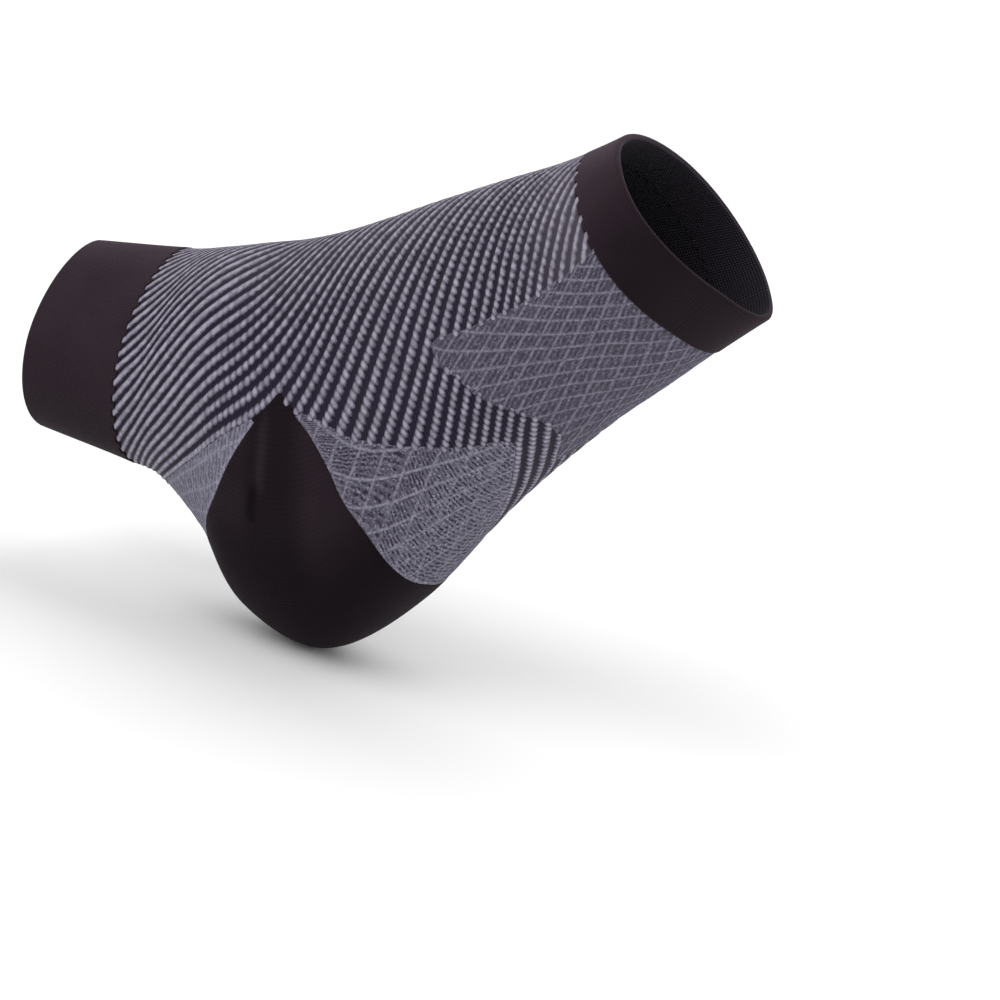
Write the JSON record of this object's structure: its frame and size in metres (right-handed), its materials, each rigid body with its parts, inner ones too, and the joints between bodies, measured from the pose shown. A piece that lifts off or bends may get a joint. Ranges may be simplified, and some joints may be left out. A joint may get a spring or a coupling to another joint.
{
  "type": "compression foot sleeve",
  "caption": "Open-toe knitted compression sleeve for a left foot and ankle, with slanting ribs, lattice panels, a black heel cup, an ankle cuff and a toe band.",
  "frame": {"origin": "centre of the ankle opening, where the leg goes in", "axes": "+X runs down the leg from the ankle opening, +Z is the shin and instep side, +Y is the outer side of the left foot"},
  "size_m": [0.2052, 0.0691, 0.165],
  "materials": {
    "black_knit": "smooth fine black elastic knit",
    "striped_knit": "raised light grey ribs on a black ground, slanting round the foot",
    "lattice_knit": "mid grey knit with a lighter lattice and small dark stitches"
  },
  "bodies": {
    "root": {"ankle_cuff": "black_knit", "striped_sleeve": "striped_knit", "rear_heel_panel": "lattice_knit", "heel_cup": "black_knit", "front_heel_panel": "lattice_knit", "ball_panel": "lattice_knit", "toe_band": "black_knit"}
  },
  "joints": []
}
